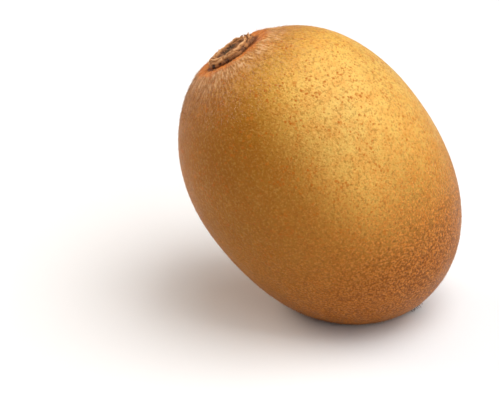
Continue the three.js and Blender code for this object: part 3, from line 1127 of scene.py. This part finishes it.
spots = add(
    tree,
    "GeometryNodeDistributePointsOnFaces",
    {
        0: shaped.outputs[0],
        "Distance Min": gap.outputs[0],
        "Density Max": MOST_THREADS,
        "Density Factor": where.outputs[0],
        "Seed": sizes["Seed"],
    },
    distribute_method="POISSON",
)
jitter = add(
    tree,
    "FunctionNodeRandomValue",
    {0: [-THREAD_STRAY] * 3, 1: [THREAD_STRAY] * 3, "Seed": sizes["Seed"]},
    data_type="FLOAT_VECTOR",
)
heading = add(
    tree, "ShaderNodeVectorMath", {0: spots.outputs["Normal"], 1: jitter.outputs[0]}, operation="ADD"
)
aimed = add(tree, "FunctionNodeAlignRotationToVector", {"Vector": heading.outputs[0]}, axis="Z")
length = add(
    tree,
    "FunctionNodeRandomValue",
    {2: sizes["Shortest"], 3: sizes["Longest"], "Seed": sizes["Seed"]},
    data_type="FLOAT",
)
size = add(
    tree,
    "ShaderNodeCombineXYZ",
    {0: sizes["Thread width"], 1: sizes["Thread width"], 2: length.outputs[1]},
)
size = add(tree, "ShaderNodeVectorMath", {0: size.outputs[0], "Scale": MM}, operation="SCALE")
threads = add(
    tree,
    "GeometryNodeInstanceOnPoints",
    {
        "Points": spots.outputs["Points"],
        "Instance": thread.outputs[0],
        "Rotation": aimed.outputs[0],
        "Scale": size.outputs[0],
    },
)
real = add(tree, "GeometryNodeRealizeInstances", {0: threads.outputs[0]})
ends = add(tree, "ShaderNodeSeparateXYZ", {0: add(tree, "GeometryNodeInputPosition").outputs[0]})
above = add(tree, "ShaderNodeMath", {0: ends.outputs[2], 1: TABLE_TOUCH * MM}, operation="MAXIMUM")
pressed = add(
    tree, "ShaderNodeCombineXYZ", {0: ends.outputs[0], 1: ends.outputs[1], 2: above.outputs[0]}
)
threads = add(tree, "GeometryNodeSetPosition", {0: real.outputs[0], "Position": pressed.outputs[0]})
both = add(tree, "GeometryNodeJoinGeometry", {0: shaped.outputs[0]})
tree.links.new(threads.outputs[0], both.inputs[0])
finish_tree(tree, both.outputs[0], style_fibre)

styles = grow(
    "styles",
    cad_copy("blossom_styles"),
    tree,
    {
        "Levels": STYLES_LEVELS,
        "Rib height": RIB_HEIGHT,
        "Sink": STYLES_SINK,
        "Thread spacing": THREAD_SPACING,
        "Shortest": THREAD_LENGTHS[0],
        "Longest": THREAD_LENGTHS[1],
        "Thread width": THREAD_WIDTH,
        "Seed": 3,
    },
)
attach(styles, "root")
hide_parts("blossom_styles")

# Where it stands

# A pale matte tabletop of painted board under a wide studio ceiling light. A soft light stands over the
# fruit's right shoulder, with a weak one in front and a weak one behind it at the left.

FLOOR_SIZE = 6.0
AMBIENT = 0.20  # strength of the light that comes from all round

# Matte paint: nearly white, a little cool, with hardly any shift of tone.
floor_paint = bpy.data.materials.new("matte_pale_tabletop")
floor_paint.use_nodes = True
tree = floor_paint.node_tree
tree.nodes.clear()
at = add(tree, "ShaderNodeTexCoord").outputs["Object"]
tone = add(tree, "ShaderNodeTexNoise", {"Vector": at, "Scale": 9.0, "Detail": 3.0})
tabletop = add(
    tree,
    "ShaderNodeMix",
    {0: tone.outputs[0], 6: linear("#e3e4e6"), 7: linear("#e7e8ea")},
    data_type="RGBA",
)
shader = add(tree, "ShaderNodeBsdfPrincipled", {"Base Color": tabletop.outputs[2], "Roughness": 0.8})
add(tree, "ShaderNodeOutputMaterial", {0: shader.outputs[0]})
bpy.ops.mesh.primitive_plane_add(size=FLOOR_SIZE)
floor = bpy.context.object
floor.name = "floor"
floor.data.materials.append(floor_paint)

# The camera looks along +Y and down at 27 degrees, 437 mm from the middle of the widest section.
ELEVATION = math.radians(27)
DISTANCE = 0.437
LENS, SENSOR = 150.0, 36.0  # mm
FRAME_SHIFT = Vector((13.42 * MM, 8.76 * MM))  # where the fruit's middle stands from the picture's middle
fruit_middle = Vector((-1.34 * MM, 0.28 * MM, 31.41 * MM))
camera = bpy.data.objects.new("camera", bpy.data.cameras.new("camera"))
camera.data.lens = LENS
camera.data.sensor_width = SENSOR
camera.rotation_euler = (math.radians(90) - ELEVATION, 0, 0)
up = Vector((0, math.sin(ELEVATION), math.cos(ELEVATION)))
back = Vector((0, -math.cos(ELEVATION), math.sin(ELEVATION)))
camera.location = fruit_middle - Vector((FRAME_SHIFT.x, 0, 0)) - FRAME_SHIFT.y * up + DISTANCE * back
bpy.context.collection.objects.link(camera)
scene = bpy.context.scene
scene.camera = camera

# Each light has its place, its width and its power in watts, and is turned to the middle of the fruit.
for name, place, size, power, tint in [
    ("studio ceiling", (1.8, 0.1, 4.0), 6.0, 135.0, "#ffffff"),
    ("overhead softbox", (0.19, -0.03, 0.45), 0.40, 1.68, "#fffdfa"),
    ("front card", (0.28, -0.42, 0.30), 0.40, 1.0, "#fffaf4"),
    ("left card", (-0.38, 0.20, 0.24), 0.30, 1.4, "#ffedd8"),
]:
    lamp = bpy.data.objects.new(name, bpy.data.lights.new(name, "AREA"))
    lamp.data.size = size
    lamp.data.energy = power
    lamp.data.color = linear(tint)[:3]
    lamp.location = place
    lamp.rotation_euler = (Vector(place) - fruit_middle).to_track_quat("Z", "Y").to_euler()
    bpy.context.collection.objects.link(lamp)

world = bpy.data.worlds.new("soft studio")
world.use_nodes = True
world.node_tree.nodes["Background"].inputs[0].default_value = linear("#f4f5f7")
world.node_tree.nodes["Background"].inputs[1].default_value = AMBIENT
scene.world = world
scene.view_settings.view_transform = "Standard"
